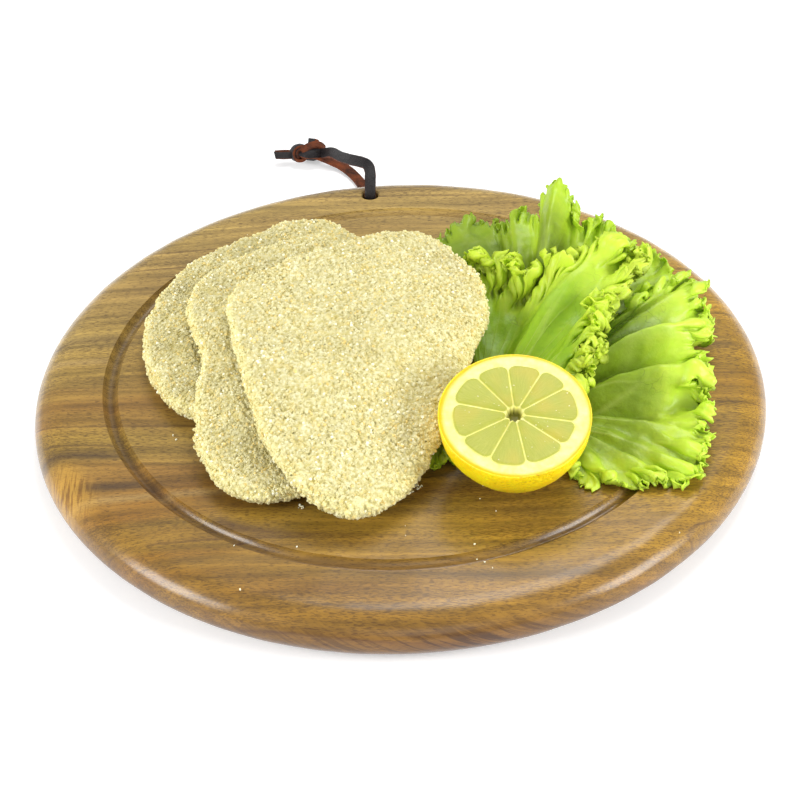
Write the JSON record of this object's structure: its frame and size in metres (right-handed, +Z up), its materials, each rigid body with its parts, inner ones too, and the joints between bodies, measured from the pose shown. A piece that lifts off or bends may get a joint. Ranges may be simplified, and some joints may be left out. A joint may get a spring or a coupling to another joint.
{
  "type": "breaded schnitzel platter on a round wooden board",
  "caption": "Raw breaded schnitzels overlapping on a round grooved wooden board, with a lemon half, frilly lettuce and a knotted leather hanging thong.",
  "frame": {"origin": "centre of the board's underside, on the surface it stands on", "axes": "+Z up; +Y from the board's centre towards the hole and its thong; the front of the platter faces -Y"},
  "size_m": [0.3, 0.3553, 0.0658],
  "materials": {
    "acacia_wood": "satin",
    "breading": "matte",
    "lettuce": "satin",
    "lemon": "satin",
    "leather": "satin"
  },
  "bodies": {
    "root": {"board": "acacia_wood", "schnitzel_bottom": "breading", "schnitzel_middle": "breading", "schnitzel_top": "breading", "lettuce_leaf_back": "lettuce", "lettuce_leaf_middle": "lettuce", "lettuce_leaf_right": "lettuce", "lettuce_leaf_tip": "lettuce", "lemon_half": "lemon", "thong_strand_over": "leather", "thong_strand_under": "leather", "thong_knot": "leather", "thong_tail_upper": "leather", "thong_tail_lower": "leather"}
  },
  "joints": []
}
